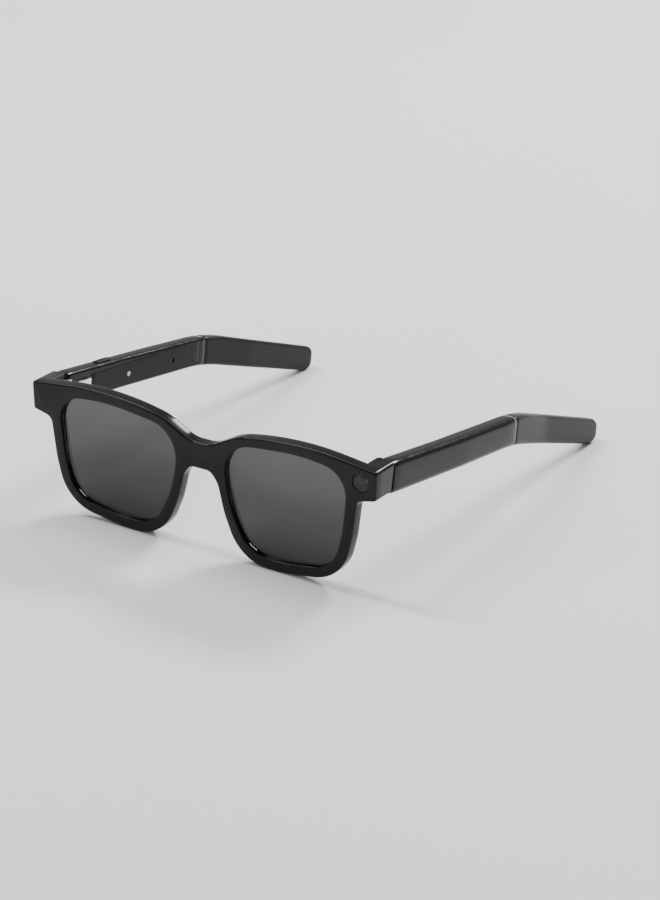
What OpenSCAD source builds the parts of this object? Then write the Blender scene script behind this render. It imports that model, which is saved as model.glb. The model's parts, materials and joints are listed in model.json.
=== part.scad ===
// Smart glasses, open, standing on the rims and the temple tips.
// +X is the wearer's left, the front faces -Y, +Z is up. Origin: bottom centre of the overall box.

/* [Front] */
// Overall width of the front
front_w = 147; // [144:0.5:150]
// Thickness of the front plate
front_t = 5; // [4.8:0.1:5.6]
// Distance from the frame's middle to a lens centre
lens_x = 36; // [36:0.5:37]
// Height of the lens openings
lens_h = 42; // [41:0.5:43]
// Width of the rim under a lens
rim_w = 4; // [3.6:0.1:4.6]
// How far the lens edge reaches into the rim
groove_d = 0.9; // [0.6:0.1:1.1]
// Radius of the lens's front surface, seen from above
lens_r = 420; // [300:10:600]

/* [Camera] */
// Radius of the window over the camera
window_r = 3.4; // [3:0.1:3.6]
// Radius of the camera barrel
barrel_r = 2; // [1.8:0.1:2.1]

/* [Hinges] */
// Distance of each hinge axis behind the front face
hinge_y = 11; // [10.5:0.5:13]
// Height of the hinges above the lens centres
hinge_z = 15; // [14:0.5:16]
// Radius of a hinge knuckle
knuckle_r = 1.6; // [1.5:0.1:1.7]
// Radius of a hinge pin
pin_r = 0.7; // [0.6:0.05:0.8]
// Radial clearance between a pin and the temple's knuckle
pin_gap = 0.05; // [0.03:0.01:0.08]
// Lean of the temples down towards the ears, in degrees
tilt = 7.5; // [6:0.5:9]

/* [Temples] */
// Distance from the hinge to the middle of the rounded tip
tip_s = 150; // [145:1:155]
// Radius of the rounded tip, seen from the side
tip_r = 4.8; // [4.4:0.1:5]
// Where the temple starts to bend down behind the ear
bend_s = 86; // [84:1:90]
// Thickness of a temple at the hinge
temple_t = 6.8; // [6.6:0.1:7.2]

/* [Controls] */
// Travel of the capture button
button_travel = 0.35; // [0.2:0.05:0.35]
// Travel of the power slider
slider_travel = 2; // [1.5:0.1:2.2]

/* [Hidden] */
$fn = 64;
gap = 0.05;
arc_steps = 10;
far = 40;
rim_bottom = lens_h / 2 + rim_w;
end_x = front_w / 2;
hinge_x = end_x - temple_t - 0.6;
inner_u = 0.6;
outer_u = inner_u + temple_t;
tip_t = (tip_r - rim_bottom - hinge_z + tip_s * sin(tilt)) / cos(tilt);
droop = atan(-tip_t / (tip_s - bend_s));
overall_y = hinge_y + tip_s * cos(tilt) + tip_t * sin(tilt) + tip_r;

// Camera: x and z from the middle between the lens centres, y behind the front face
camera_x = 67.2;
camera_z = 17.4;
window_y = 0.1;
window_thick = 0.55;
window_seat_y = 0.7;
window_ledge = 0.4;
pocket_y = 4.7;
barrel_shift = 0.7;
barrel_y = 0.75;
barrel_len = 3;
barrel_wall = 0.7;
glass_y = 0.95;
glass_thick = 1.2;
sensor_y = 3.8;
sensor_w = 3.6;
sensor_thick = 0.7;
led_x = 69.2;
led_z = 18.4;
led_r = 0.6;
led_len = 1.4;

// Brow and bridge
brow_wall = 1.2;
channel_y = 3.6;
channel_z = 8.5;
channel_half = 60;
lens_wall = 0.5;
cover_y = 4.2;
flex_thick = 0.2;
flex_inset = 0.3;
flex_way_x = [58, 66];
flex_way_w = 2;
flex_way_depth = 0.6;
bridge_under_z = 6;
bridge_room = [8.4, 3, 4.6];
bridge_room_y = 1.6;
bridge_floor = 1.4;
board_size = [8, 1.8, 0.7];
board_y = 1.7;
can_size = [2.6, 1.7, 2];
can_y = 1.8;
can_rise = 2.9;
port_r = 0.4;
bridge_port_z = 10;
contact_x = 1.9;
contact_y = 2.8;
contact_r = 0.8;

// Lenses
lens_back = 3.4;
lens_seat = 1.9;
lens_apex = 0.6;
lens_fn = 720;

// Hinge stations along the hinge axis (t) and along the leaves (s)
knuckle_t = 2.1;
knuckle_end = 5;
knuckle_room = 0.25;
axial_gap = 0.1;
leaf_half = 0.6;
leaf_web = 0.5;
leaf_front_s = 5.2;
leaf_back_s = 13;
leaf_back_half = 3.6;
butt_s = 0.3;
pin_head_r = 1.25;
pin_head_len = 0.5;

// Screws: places, and depths along u
screw_r = 0.5;
screw_head_r = 0.9;
front_screw_s = -3.6;
front_screw_t = [-2.8, 2.8];
temple_screw_s = [5, 10];
leaf_screw_u = [-0.1, 3];
leaf_head_u = [-0.55, -0.1];
leaf_pilot = 3.1;
cover_screw_u = [1, 4];
cover_head_u = [0.5, 1];
cover_pilot = 4.1;

// Temple stations: s runs back from the hinge, t up along its axis, u outwards
root_top = 7.4;
root_low = -4.6;
shell_end = 84;
cavity_s = [15, 80];
cavity_t = [-3.6, 4];
cavity_u = 5.2;
cover_u = 1.6;
cover_lip = 0.6;
bend_r = 90;
bend_top = 5.2;
bend_low = -5.5;
root_round = 0.8;
tip_trim = 0.05;
boss_s = [37.5, 64];
boss_r = 1.4;
core_r = 0.7;
core_len = 52;
core_u = 2.3;
core_t = -0.6;
core_start = 1.5;
core_turn = 3.6;

// What each temple holds
board_u = [3, 3.8];
board_s = [16, 35];
board_t = [-2.9, 2.6];
chip_s = [17, 23, 29];
chip_len = 4;
chip_u = [3.8, 4.8];
chip_t = [-2, 1.8];
cell_u = 1.9;
cell_thick = 3;
battery_s = [40, 61.5];
battery_t = [-3.4, 3.7];
battery_round = 1;
speaker_s = [66.5, 79];
speaker_t = [-3.5, 3.4];
speaker_round = 1.5;
speaker_foot_round = 0.5;
port_u = 3.6;
speaker_port_s = 73;
slot_len = 10;
slot_w = 1.6;
mesh_len = 11.1;
mesh_w = 2.7;
mesh_t = [-5.1, -4.8];
mesh_hole_r = 0.25;
mesh_row_u = 0.45;
mesh_rows_s = [-4 : 4];
mic_s = 18.5;
mic_half = 1.5;
mic_u = [2.4, 4.8];
mic_t = [-3.6, -3];
touch_s = [40, 61];
touch_u = 5;
touch_t = [-3.4, 3.5];

// Capture button and its switch
button_s = 24.5;
button_u = 3.7;
button_len = 9;
button_w = 2.6;
button_top = 7.3;
button_room = 0.2;
flange_t = 5.28;
flange_thick = 0.5;
flange_len = button_len + 1.3;
flange_w = button_w + 0.7;
flange_room = 0.3;
flange_rise = 0.02;
key_u = [2.3, 4.9];
key_half = 2;
key_t = [2.65, 3.9];
key_stem_r = 0.7;
key_stem_low = 3.8;
key_slack = 0.05;

// Power slider and its switch
slider_s = 27;
knob_half = [1.6, 1.2];
knob_room = [1.7, 1.35];
slider_flange = [2.6, 1.9];
slider_flange_u = [0.1, 0.5];
switch_u = 2.95;
switch_gap = 0.1;
switch_s = [-2, 4];
switch_half = 1.8;

// Colours
frame_black = [0.035, 0.035, 0.04];
inner_black = [0.05, 0.05, 0.055];
tip_black = [0.045, 0.045, 0.05];
control_black = [0.09, 0.09, 0.1];
speaker_black = [0.15, 0.15, 0.16];
barrel_black = [0.1, 0.1, 0.11];
window_black = [0.02, 0.02, 0.03];
smoke_grey = [0.16, 0.17, 0.18, 0.85];
glass_blue = [0.3, 0.32, 0.45];
board_green = [0.1, 0.3, 0.2];
film_amber = [0.75, 0.45, 0.15];
light_white = [0.9, 0.9, 0.85];
contact_gold = [0.85, 0.7, 0.35];
can_grey = [0.75, 0.75, 0.72];
chrome = [0.85, 0.86, 0.88];
steel = [0.7, 0.71, 0.73];
screw_grey = [0.6, 0.61, 0.63];
foil_grey = [0.75, 0.76, 0.78];
mesh_grey = [0.3, 0.3, 0.31];

// Half of the front's outline as [x, z, corner radius], from the bridge's top round to its underside
front_half = [
    [4.5, 16, 12], [16, 22, 26], [39.5, 26.5, 125], [end_x, 22.4, 1.4], [end_x - 0.4, 11.8, 1],
    [65.5, 10, 3], [63.5, -4.5, 40], [59, -21.5, 17], [35, -rim_bottom, 60], [17, -rim_bottom, 17],
    [10, -8.5, 30], [7.2, 2.5, 9], [4.2, bridge_under_z, 3.5]
];

// One lens opening, on the +X side, as [x, z, corner radius]
lens_half = [
    [9, 18, 12], [lens_x + 5.5, lens_h / 2 + 0.5, 80], [62, 19, 10], [59.5, -3.5, 50],
    [55.5, -18, 12.5], [34.5, -lens_h / 2, 50], [20.5, -20.5, 12.5], [12, -4.5, 50]
];

// ---- Outlines ----

function unit(v) = v / norm(v);
function at(list, i) = list[(i + len(list)) % len(list)];
function xy(p) = [p[0], p[1]];
function edge(list, i) = unit(xy(at(list, i + 1)) - xy(at(list, i)));
function outward(e) = [-e[1], e[0]];

// Moves every edge of a clockwise outline outwards by d, and keeps its corners round
function grow(list, d) = [
    for (i = [0 : len(list) - 1])
        let (
            e1 = edge(list, i - 1), e2 = edge(list, i),
            n1 = outward(e1), n2 = outward(e2),
            turn = e1[0] * e2[1] - e1[1] * e2[0],
            p = xy(list[i]) + d * (n1 + n2) / (1 + n1 * n2)
        )
        [p[0], p[1], max(0.3, list[i][2] + (turn < 0 ? d : -d))]
];

// Replaces every corner by an arc of the radius that it names
function arc_points(list, i) =
    let (
        e1 = edge(list, i - 1), e2 = edge(list, i), p = at(list, i), r = p[2],
        turn = e1[0] * e2[1] - e1[1] * e2[0],
        angle = acos(max(-1, min(1, e1 * e2))),
        side = turn < 0 ? 1 : -1,
        start = xy(p) - e1 * r * tan(angle / 2),
        centre = start - outward(e1) * r * side,
        a0 = atan2(outward(e1)[1] * side, outward(e1)[0] * side)
    )
    [for (k = [0 : arc_steps]) centre + r * [cos(a0 - side * angle * k / arc_steps),
                                              sin(a0 - side * angle * k / arc_steps)]];
function rounded(list) = [for (i = [0 : len(list) - 1]) each arc_points(list, i)];

function mirrored(list) = [for (i = [len(list) - 1 : -1 : 0]) [-list[i][0], list[i][1], list[i][2]]];

module front_2d(d = 0) {
    polygon(rounded(grow(concat(front_half, mirrored(front_half)), d)));
}

module lens_2d(d = 0) {
    polygon(rounded(grow(lens_half, d)));
}

// Space behind the brow and the bridge, between the two lens openings and the front's top edge
module channel_2d(d = 0) {
    difference() {
        intersection() {
            front_2d(-brow_wall - d);
            translate([-channel_half, channel_z + d]) square([2 * channel_half, far]);
        }
        for (side = [0, 1])
            mirror([side, 0]) lens_2d(groove_d + lens_wall + d);
    }
}

// ---- Placing ----

// From the lens-centre datum on the front face to the overall frame
module seat() {
    translate([0, -overall_y / 2, rim_bottom]) children();
}

// A solid drawn as an outline in X and Z, between two depths behind the front face
module plate(y0, y1) {
    translate([0, y1, 0]) rotate([90, 0, 0]) linear_extrude(y1 - y0) children();
}

// From a temple's own axes (u, s, t) to the front's datum, on the +X side
module hinge_seat() {
    translate([hinge_x, hinge_y, hinge_z]) rotate([-tilt, 0, 0]) children();
}

// From a temple's own axes to the overall frame: side 1 is the wearer's left
module temple_seat(side) {
    seat() mirror([side > 0 ? 0 : 1, 0, 0]) hinge_seat() children();
}

module box(u, s, t) {
    translate([u[0], s[0], t[0]]) cube([u[1] - u[0], s[1] - s[0], t[1] - t[0]]);
}

// A rod along u
module rod_u(r, u, s, t) {
    translate([u[0], s, t]) rotate([0, 90, 0]) cylinder(r = r, h = u[1] - u[0]);
}

// A rod along the hinge axis
module rod_t(r, t0, t1) {
    translate([0, 0, t0]) cylinder(r = r, h = t1 - t0);
}

// A flat bar with round ends that runs along s, standing up between two heights
module bar(u, s, length, width, t0, t1) {
    translate([u, s, t0]) linear_extrude(t1 - t0) {
        square([width, length - width], center = true);
        for (end = [-1, 1])
            translate([0, end * (length - width) / 2]) circle(d = width);
    }
}

// ---- Front ----

// The end piece runs back from the front's own outline to the temple's butt
module end_block() {
    difference() {
        intersection() {
            plate(front_t / 2, hinge_y + 5) front_2d();
            hinge_seat() box([inner_u, outer_u + 1], [-far, -butt_s], [-far, far]);
        }
        hinge_seat() {
            rod_t(knuckle_r + knuckle_room, -far, far);
            for (t = front_screw_t)
                rod_u(screw_r, [0, leaf_pilot], front_screw_s, t);
        }
    }
}

module front_frame() {
    color(frame_black) seat() difference() {
        union() {
            plate(0, front_t) front_2d();
            for (side = [0, 1])
                mirror([side, 0, 0]) end_block();
        }
        for (side = [0, 1])
            mirror([side, 0, 0]) {
                plate(-1, front_t + 1) lens_2d();
                plate(lens_seat, lens_back) lens_2d(groove_d);
            }
        plate(channel_y, front_t + 1) channel_2d();
        // Camera pocket, open to the front, and the flex circuit's way into it
        translate([camera_x, 0, camera_z]) rotate([-90, 0, 0]) {
            translate([0, 0, -1]) cylinder(r = window_r + gap, h = 1 + window_seat_y);
            cylinder(r = window_r - window_ledge, h = pocket_y);
        }
        translate([flex_way_x[0], channel_y, camera_z - flex_way_w / 2])
            cube([flex_way_x[1] - flex_way_x[0], flex_way_depth, flex_way_w]);
        // Charging board, contacts and bridge microphone
        translate([-bridge_room[0] / 2, bridge_room_y, bridge_under_z + bridge_floor]) cube(bridge_room);
        for (side = [-1, 1])
            translate([side * contact_x, contact_y, 0])
                cylinder(r = contact_r, h = bridge_under_z + bridge_floor + 1);
    }
}

module brow_cover() {
    color(inner_black) seat() difference() {
        plate(cover_y, front_t) channel_2d(gap);
        translate([0, 0, bridge_port_z]) rotate([-90, 0, 0]) cylinder(r = port_r, h = 2 * front_t);
    }
}

module lens(side) {
    color(smoke_grey) seat() mirror([side > 0 ? 0 : 1, 0, 0]) union() {
        plate(lens_seat, lens_back) lens_2d(groove_d);
        intersection() {
            plate(0, lens_seat) lens_2d(-gap);
            translate([lens_x, lens_apex + lens_r, -lens_h])
                cylinder(r = lens_r, h = 2 * lens_h, $fn = lens_fn);
        }
    }
}

module lens_left() {
    lens(1);
}

module lens_right() {
    lens(-1);
}

module camera_window() {
    color(window_black) seat() translate([camera_x, window_y, camera_z]) rotate([-90, 0, 0])
        cylinder(r = window_r, h = window_thick);
}

module camera_barrel() {
    color(barrel_black) seat() translate([camera_x - barrel_shift, barrel_y, camera_z])
        rotate([-90, 0, 0]) difference() {
            cylinder(r = barrel_r, h = barrel_len);
            translate([0, 0, -1]) cylinder(r = barrel_r - barrel_wall, h = barrel_len + 2);
        }
}

module camera_lens() {
    color(glass_blue) seat() translate([camera_x - barrel_shift, glass_y, camera_z])
        rotate([-90, 0, 0]) cylinder(r = barrel_r - barrel_wall - gap, h = glass_thick);
}

module camera_sensor() {
    color(board_green) seat()
        translate([camera_x - barrel_shift - sensor_w / 2, sensor_y, camera_z - sensor_w / 2])
            cube([sensor_w, sensor_thick, sensor_w]);
}

module capture_light() {
    color(light_white) seat() translate([led_x, barrel_y, led_z]) rotate([-90, 0, 0])
        cylinder(r = led_r, h = led_len);
}

module front_flex() {
    color(film_amber) seat()
        plate(channel_y + gap, channel_y + gap + flex_thick) channel_2d(flex_inset);
}

module charge_contacts() {
    color(contact_gold) seat() for (side = [-1, 1])
        translate([side * contact_x, contact_y, bridge_under_z]) cylinder(r = contact_r, h = bridge_floor);
}

module charge_board() {
    color(board_green) seat()
        translate([-board_size[0] / 2, board_y, bridge_under_z + bridge_floor]) cube(board_size);
}

module bridge_microphone() {
    color(can_grey) seat()
        translate([-can_size[0] / 2, can_y, bridge_under_z + can_rise]) cube(can_size);
}

// ---- Hinges ----

// Countersunk hole through a leaf
module leaf_screw_hole(s, t) {
    rod_u(screw_r, [-2 * leaf_half, 2 * leaf_half], s, t);
    rod_u(screw_head_r, [-2 * leaf_half, leaf_head_u[1]], s, t);
}

module hinge_leaf_front(side) {
    color(chrome) temple_seat(side) difference() {
        union() {
            for (end = [-1, 1]) {
                low = end > 0 ? knuckle_t + axial_gap : -knuckle_end;
                rod_t(knuckle_r, low, low + knuckle_end - knuckle_t - axial_gap);
                box([-leaf_half, leaf_half], [-leaf_front_s, 0],
                    [low, low + knuckle_end - knuckle_t - axial_gap]);
            }
            box([-leaf_half, leaf_half], [-leaf_front_s, -knuckle_r - leaf_web],
                [-knuckle_end, knuckle_end]);
        }
        rod_t(pin_r, -far, far);
        for (t = front_screw_t)
            leaf_screw_hole(front_screw_s, t);
    }
}

module hinge_leaf_temple(side) {
    color(chrome) temple_seat(side) difference() {
        union() {
            rod_t(knuckle_r, -knuckle_t, knuckle_t);
            box([-leaf_half, leaf_half], [0, leaf_back_s], [-knuckle_t, knuckle_t]);
            box([-leaf_half, leaf_half], [knuckle_r + leaf_web, leaf_back_s],
                [-leaf_back_half, leaf_back_half]);
        }
        rod_t(pin_r + pin_gap, -far, far);
        for (s = temple_screw_s)
            leaf_screw_hole(s, 0);
    }
}

module hinge_pin(side) {
    color(steel) temple_seat(side) union() {
        rod_t(pin_r, -knuckle_end, knuckle_end);
        rod_t(pin_head_r, knuckle_end, knuckle_end + pin_head_len);
    }
}

module leaf_screw(s, t) {
    rod_u(screw_r, leaf_screw_u, s, t);
    rod_u(screw_head_r, leaf_head_u, s, t);
}

module front_hinge_screws() {
    color(screw_grey) for (side = [-1, 1], t = front_screw_t)
        temple_seat(side) leaf_screw(front_screw_s, t);
}

module temple_hinge_screws(side) {
    color(screw_grey) temple_seat(side) for (s = temple_screw_s)
        leaf_screw(s, 0);
}

module hinge_leaf_front_left() {
    hinge_leaf_front(1);
}

module hinge_leaf_front_right() {
    hinge_leaf_front(-1);
}

module hinge_leaf_temple_left() {
    hinge_leaf_temple(1);
}

module hinge_leaf_temple_right() {
    hinge_leaf_temple(-1);
}

module hinge_pin_left() {
    hinge_pin(1);
}

module hinge_pin_right() {
    hinge_pin(-1);
}

module temple_hinge_screws_left() {
    temple_hinge_screws(1);
}

module temple_hinge_screws_right() {
    temple_hinge_screws(-1);
}

// ---- Temples ----

// Side outline: straight to the ear, then down to a round tip
function tip_corner(side) =
    [tip_s, tip_t] + tip_r * [cos(droop), -sin(droop)] + side * tip_r * [sin(droop), cos(droop)];
function side_outline() = [
    [butt_s, root_top, root_round], [bend_s + 2, bend_top, bend_r],
    [tip_corner(1)[0], tip_corner(1)[1], tip_r - tip_trim],
    [tip_corner(-1)[0], tip_corner(-1)[1], tip_r - tip_trim],
    [bend_s - 2, bend_low, bend_r], [butt_s, root_low, root_round]
];

// Plan outline: parallel faces at the hinge, then a slim tip that bows towards the head
plan_outline = [
    [inner_u, butt_s, 0.3], [inner_u, 36, 90], [-0.6, 84, 90], [-2.4, 112, 90], [-3.8, 156, 1.5],
    [0.6, 156, 1.8], [2.2, 112, 60], [6.2, 80, 60], [outer_u - 0.2, 48, 90], [outer_u, butt_s, root_round]
];

module arm() {
    intersection() {
        translate([-far, 0, 0]) rotate([90, 0, 90]) linear_extrude(2 * far) polygon(rounded(side_outline()));
        translate([0, 0, -far]) linear_extrude(2 * far) polygon(rounded(plan_outline));
    }
}

module core_path() {
    translate([core_u, shell_end - core_start, core_t]) rotate([-90 - droop, 0, core_turn])
        cylinder(r = core_r, h = core_len);
}

// Openings that only one of the two temples has
module control_cutouts(side) {
    if (side < 0) {
        bar(button_u, button_s, flange_len + flange_room, flange_w + flange_room,
            cavity_t[1] - 2 * gap, flange_t + flange_rise);
        bar(button_u, button_s, button_len + button_room, button_w + button_room, cavity_t[1], far);
    }
}

module temple_shell(side) {
    color(frame_black) temple_seat(side) difference() {
        intersection() {
            arm();
            box([-far, far], [0, shell_end], [-far, far]);
        }
        difference() {
            box([0, cavity_u], cavity_s, cavity_t);
            for (s = boss_s)
                rod_u(boss_r, [0, far], s, 0);
        }
        box([-far, cover_u + gap], cavity_s + [-cover_lip, cover_lip], cavity_t + [-cover_lip, cover_lip]);
        rod_t(knuckle_r + knuckle_room, -far, far);
        for (s = temple_screw_s)
            rod_u(screw_r, [0, leaf_pilot], s, 0);
        for (s = boss_s)
            rod_u(screw_r, [0, cover_pilot], s, 0);
        core_path();
        // Sound slot with its mesh's recess, and the microphone's port
        bar(port_u, speaker_port_s, slot_len, slot_w, -far, 0);
        bar(port_u, speaker_port_s, mesh_len + 2 * gap, mesh_w + 2 * gap, -far, mesh_t[1]);
        translate([port_u, mic_s, -far]) cylinder(r = port_r, h = far);
        control_cutouts(side);
    }
}

module temple_cover(side) {
    color(inner_black) temple_seat(side) difference() {
        intersection() {
            arm();
            box([-far, cover_u], cavity_s + [gap - cover_lip, cover_lip - gap],
                cavity_t + [gap - cover_lip, cover_lip - gap]);
        }
        for (s = boss_s) {
            rod_u(screw_r, [-far, far], s, 0);
            rod_u(screw_head_r, [-far, cover_head_u[1]], s, 0);
        }
        if (side > 0)
            box([-far, far], [slider_s - knob_room[0], slider_s + knob_room[0] + slider_travel],
                [-knob_room[1], knob_room[1]]);
    }
}

module temple_tip(side) {
    color(tip_black) temple_seat(side) difference() {
        intersection() {
            arm();
            box([-far, far], [shell_end, tip_s + far], [-far, far]);
        }
        core_path();
    }
}

module core_wire(side) {
    color(steel) temple_seat(side) core_path();
}

module cover_screws(side) {
    color(screw_grey) temple_seat(side) for (s = boss_s) {
        rod_u(screw_r, cover_screw_u, s, 0);
        rod_u(screw_head_r, cover_head_u, s, 0);
    }
}

module temple_board(side) {
    color(board_green) temple_seat(side) union() {
        box(board_u, board_s, board_t);
        for (s = chip_s)
            box(chip_u, [s, s + chip_len], chip_t);
    }
}

// A slab that stands against the cover, with round corners seen from the side
module cell(s, t, top_round, foot_round) {
    translate([cell_u, 0, 0]) rotate([90, 0, 90]) linear_extrude(cell_thick) polygon(rounded([
        [s[0], t[1], top_round], [s[1], t[1], top_round], [s[1], t[0], foot_round], [s[0], t[0], foot_round]
    ]));
}

module battery(side) {
    color(foil_grey) temple_seat(side)
        cell(battery_s, battery_t, battery_round, battery_round);
}

module speaker(side) {
    color(speaker_black) temple_seat(side)
        cell(speaker_s, speaker_t, speaker_round, speaker_foot_round);
}

module speaker_mesh(side) {
    color(mesh_grey) temple_seat(side) difference() {
        bar(port_u, speaker_port_s, mesh_len, mesh_w, mesh_t[0], mesh_t[1]);
        for (s = mesh_rows_s, u = [-mesh_row_u, mesh_row_u])
            translate([port_u + u, speaker_port_s + s, -far]) cylinder(r = mesh_hole_r, h = far, $fn = 16);
    }
}

module temple_microphone(side) {
    color(can_grey) temple_seat(side)
        box(mic_u, [mic_s - mic_half, mic_s + mic_half], mic_t);
}

module temple_shell_left() {
    temple_shell(1);
}

module temple_shell_right() {
    temple_shell(-1);
}

module temple_cover_left() {
    temple_cover(1);
}

module temple_cover_right() {
    temple_cover(-1);
}

module temple_tip_left() {
    temple_tip(1);
}

module temple_tip_right() {
    temple_tip(-1);
}

module core_wire_left() {
    core_wire(1);
}

module core_wire_right() {
    core_wire(-1);
}

module cover_screws_left() {
    cover_screws(1);
}

module cover_screws_right() {
    cover_screws(-1);
}

module temple_board_left() {
    temple_board(1);
}

module temple_board_right() {
    temple_board(-1);
}

module battery_left() {
    battery(1);
}

module battery_right() {
    battery(-1);
}

module speaker_left() {
    speaker(1);
}

module speaker_right() {
    speaker(-1);
}

module speaker_mesh_left() {
    speaker_mesh(1);
}

module speaker_mesh_right() {
    speaker_mesh(-1);
}

module temple_microphone_left() {
    temple_microphone(1);
}

module temple_microphone_right() {
    temple_microphone(-1);
}

// ---- Controls ----

// Strip of touch electrodes behind the right temple's outer wall
module touch_sensor() {
    color(film_amber) temple_seat(-1) box([touch_u, cavity_u], touch_s, touch_t);
}

// Bar on top of the right temple, pressed down to take a picture
module capture_button() {
    color(control_black) temple_seat(-1) union() {
        bar(button_u, button_s, flange_len, flange_w, flange_t - flange_thick, flange_t);
        bar(button_u, button_s, button_len, button_w, flange_t - flange_thick, button_top);
    }
}

module button_switch() {
    color(steel) temple_seat(-1) union() {
        box(key_u, [button_s - key_half, button_s + key_half], key_t);
        translate([button_u, button_s, key_stem_low]) cylinder(
            r = key_stem_r, h = flange_t - flange_thick - key_slack - button_travel - key_stem_low);
    }
}

// Switch on the left temple's inner face, at rest in its forward place
module power_slider() {
    color(control_black) temple_seat(1) union() {
        box([0, cover_u + slider_flange_u[0]], [slider_s - knob_half[0], slider_s + knob_half[0]],
            [-knob_half[1], knob_half[1]]);
        box([cover_u + slider_flange_u[0], cover_u + slider_flange_u[1]],
            [slider_s - slider_flange[0], slider_s + slider_flange[0]],
            [-slider_flange[1], slider_flange[1]]);
    }
}

module slide_switch() {
    color(steel) temple_seat(1)
        box([cover_u + slider_flange_u[1] + switch_gap, switch_u],
            [slider_s + switch_s[0], slider_s + switch_s[1]], [-switch_half, switch_half]);
}

front_frame();
brow_cover();
lens_left();
lens_right();
camera_window();
camera_barrel();
camera_lens();
camera_sensor();
capture_light();
front_flex();
charge_contacts();
charge_board();
bridge_microphone();
hinge_leaf_front_left();
hinge_leaf_front_right();
hinge_pin_left();
hinge_pin_right();
front_hinge_screws();
temple_shell_left();
temple_shell_right();
temple_cover_left();
temple_cover_right();
temple_tip_left();
temple_tip_right();
core_wire_left();
core_wire_right();
hinge_leaf_temple_left();
hinge_leaf_temple_right();
temple_hinge_screws_left();
temple_hinge_screws_right();
cover_screws_left();
cover_screws_right();
temple_board_left();
temple_board_right();
battery_left();
battery_right();
speaker_left();
speaker_right();
speaker_mesh_left();
speaker_mesh_right();
temple_microphone_left();
temple_microphone_right();
touch_sensor();
capture_button();
button_switch();
power_slider();
slide_switch();
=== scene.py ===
import json
import math

import bmesh
import bpy
from mathutils import Matrix, Vector


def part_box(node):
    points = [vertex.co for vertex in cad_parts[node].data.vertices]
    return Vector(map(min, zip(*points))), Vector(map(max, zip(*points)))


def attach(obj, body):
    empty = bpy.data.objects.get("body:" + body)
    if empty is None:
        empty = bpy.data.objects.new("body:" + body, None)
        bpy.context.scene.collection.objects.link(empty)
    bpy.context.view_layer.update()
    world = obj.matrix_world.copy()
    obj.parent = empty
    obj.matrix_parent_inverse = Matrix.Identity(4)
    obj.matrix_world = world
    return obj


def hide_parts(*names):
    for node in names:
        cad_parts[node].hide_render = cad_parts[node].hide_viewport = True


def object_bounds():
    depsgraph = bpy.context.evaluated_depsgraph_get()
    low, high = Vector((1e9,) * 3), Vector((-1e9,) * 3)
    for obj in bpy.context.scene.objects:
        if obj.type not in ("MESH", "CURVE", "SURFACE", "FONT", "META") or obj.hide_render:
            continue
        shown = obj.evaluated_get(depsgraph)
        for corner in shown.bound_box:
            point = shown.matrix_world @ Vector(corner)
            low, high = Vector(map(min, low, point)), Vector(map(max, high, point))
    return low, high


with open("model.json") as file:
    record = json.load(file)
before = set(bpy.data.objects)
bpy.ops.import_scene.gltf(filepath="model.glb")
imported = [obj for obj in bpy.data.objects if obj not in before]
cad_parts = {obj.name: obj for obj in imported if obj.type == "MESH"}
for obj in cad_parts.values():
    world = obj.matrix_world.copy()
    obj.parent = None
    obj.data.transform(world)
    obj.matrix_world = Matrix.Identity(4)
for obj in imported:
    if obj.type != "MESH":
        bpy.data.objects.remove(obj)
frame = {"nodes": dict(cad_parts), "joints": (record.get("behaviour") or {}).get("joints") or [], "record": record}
CAD_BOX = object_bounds()

# ---- Sizes, in millimetres -------------------------------------------------------------------
# Places in the front are measured from its front face and the height of the lens centres;
# places on a temple are (u outwards, s back from the hinge, t up along its axis).

MM = 0.001
SEAM = 0.05
REACH = 15.0  # half the length of a cutter that goes right through a part
OVER = 2.0  # how far a shorter cutter runs past a face
WELD = 0.0005
CAD_WELD = 0.002
SMOOTH_ANGLE = 35  # in degrees: faces that meet at less are shaded as one

# The front plate, its end pieces and the lenses
FRONT_T = 5.0
FRONT_EDGE = 0.8
RIM_BOTTOM = 25.0
END_X = 73.5
END_EDGE = 0.45
END_INSET = 0.02
END_INNER_R = 0.5
BRIDGE_UNDER = 6.0
LENS_X = 36.0
OPENING_EDGE = 0.45
LENS_SEAT = 1.9
LENS_BACK = 3.4
GROOVE = 0.9
LENS_DOME_R = 300.0
LENS_APEX = 0.3
LENS_INNER_APEX = 2.4
LENS_RINGS = 14

# The brow channel with its cover, and the ways and pockets for the front's electronics
CHANNEL_X = 60.0
CHANNEL_Y = 3.6
CHANNEL_Z = (8.5, 28.5)
CHANNEL_INSET = 1.2
GROOVE_WALL = 0.5
BROW_Y = 4.2
BROW_EDGE = 0.12
FRONT_PORT_Z = 10.0
PORT_R = 0.4
FLEX_WAY_X = (58, 66)
FLEX_WAY_DEPTH = 0.6
FLEX_WAY_HALF = 1.0
BOARD_POCKET = ((-4.2, 4.2), (1.6, 4.6), (BRIDGE_UNDER + 1.4, BRIDGE_UNDER + 6))

# The camera; a FACE is how far behind the front face a part begins
CAMERA = (67.2, 17.4)
WINDOW_R = 3.4
WINDOW_FACE = 0.1
WINDOW_ROUND = 0.3
WINDOW_T = 0.55
WINDOW_SEAT_GAP = 0.12
WINDOW_SEAT_T = 0.75
CAMERA_POCKET_R = WINDOW_R - 0.4
CAMERA_POCKET_T = 4.7
BARREL_R = 2.0
BARREL_BORE_R = 1.3
BARREL_SHIFT = 0.7
BARREL_FACE = 0.75
BARREL_BACK = -3.0
BARREL_STEPS = 3
BARREL_STEP_T = 0.12
BARREL_STEP_R = 0.16
CAMERA_LENS_FACE = 0.95
LIGHT_SHIFT = (2.0, 1.0)
LIGHT_FACE = 0.75

# The charging contacts under the bridge
CONTACT_X = 1.9
CONTACT_Y = 2.8
CONTACT_R = 0.8
CONTACT_GAP = 0.06
CONTACT_T = 1.4
CONTACT_BORE_TOP = 10.0

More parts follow.
